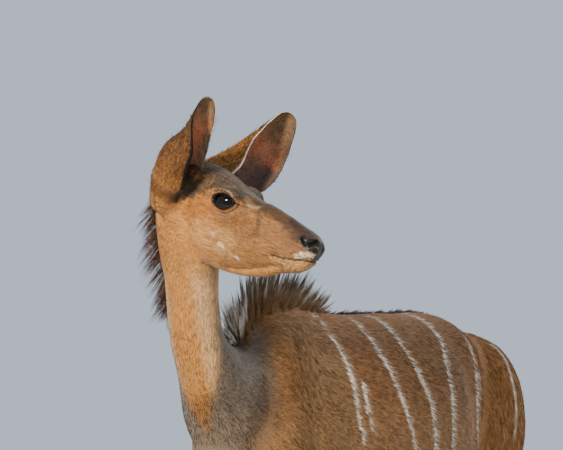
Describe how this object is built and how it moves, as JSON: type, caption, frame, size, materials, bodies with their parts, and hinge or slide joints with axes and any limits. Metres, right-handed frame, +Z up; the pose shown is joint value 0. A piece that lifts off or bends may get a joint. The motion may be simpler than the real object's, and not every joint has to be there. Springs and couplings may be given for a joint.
{
  "type": "greater kudu model",
  "caption": "Life-size standing greater kudu cow, hornless, head turned over her left shoulder, ears raised.",
  "frame": {"origin": "middle of the footprint of the whole animal's box, on the floor that the hooves stand on", "axes": "+Z up, the body faces -Y, the animal's left is +X; the head is turned to +X"},
  "size_m": [0.5344, 1.394, 1.5854],
  "materials": {
    "body_coat": "short brown hair, matt",
    "ear_coat": "short hair, paler inside the cup",
    "shank_coat": "short tan hair, matt",
    "tail_hair": "brown above, white below, black at the tip",
    "eye": "wet, glossy, near black",
    "hoof_horn": "dark horn, satin"
  },
  "bodies": {
    "root": {"head": "body_coat", "neck": "body_coat", "torso": "body_coat", "eye_left": "eye", "eye_right": "eye", "ear_right": "ear_coat", "ear_left": "ear_coat", "tail": "tail_hair", "foreleg_left_upper": "body_coat", "foreleg_left_lower": "shank_coat", "hoof_front_left_outer": "hoof_horn", "hoof_front_left_inner": "hoof_horn", "foreleg_right_upper": "body_coat", "foreleg_right_lower": "shank_coat", "hoof_front_right_outer": "hoof_horn", "hoof_front_right_inner": "hoof_horn", "hindleg_left_upper": "body_coat", "hindleg_left_lower": "shank_coat", "hoof_hind_left_outer": "hoof_horn", "hoof_hind_left_inner": "hoof_horn", "hindleg_right_upper": "body_coat", "hindleg_right_lower": "shank_coat", "hoof_hind_right_outer": "hoof_horn", "hoof_hind_right_inner": "hoof_horn"}
  },
  "joints": []
}
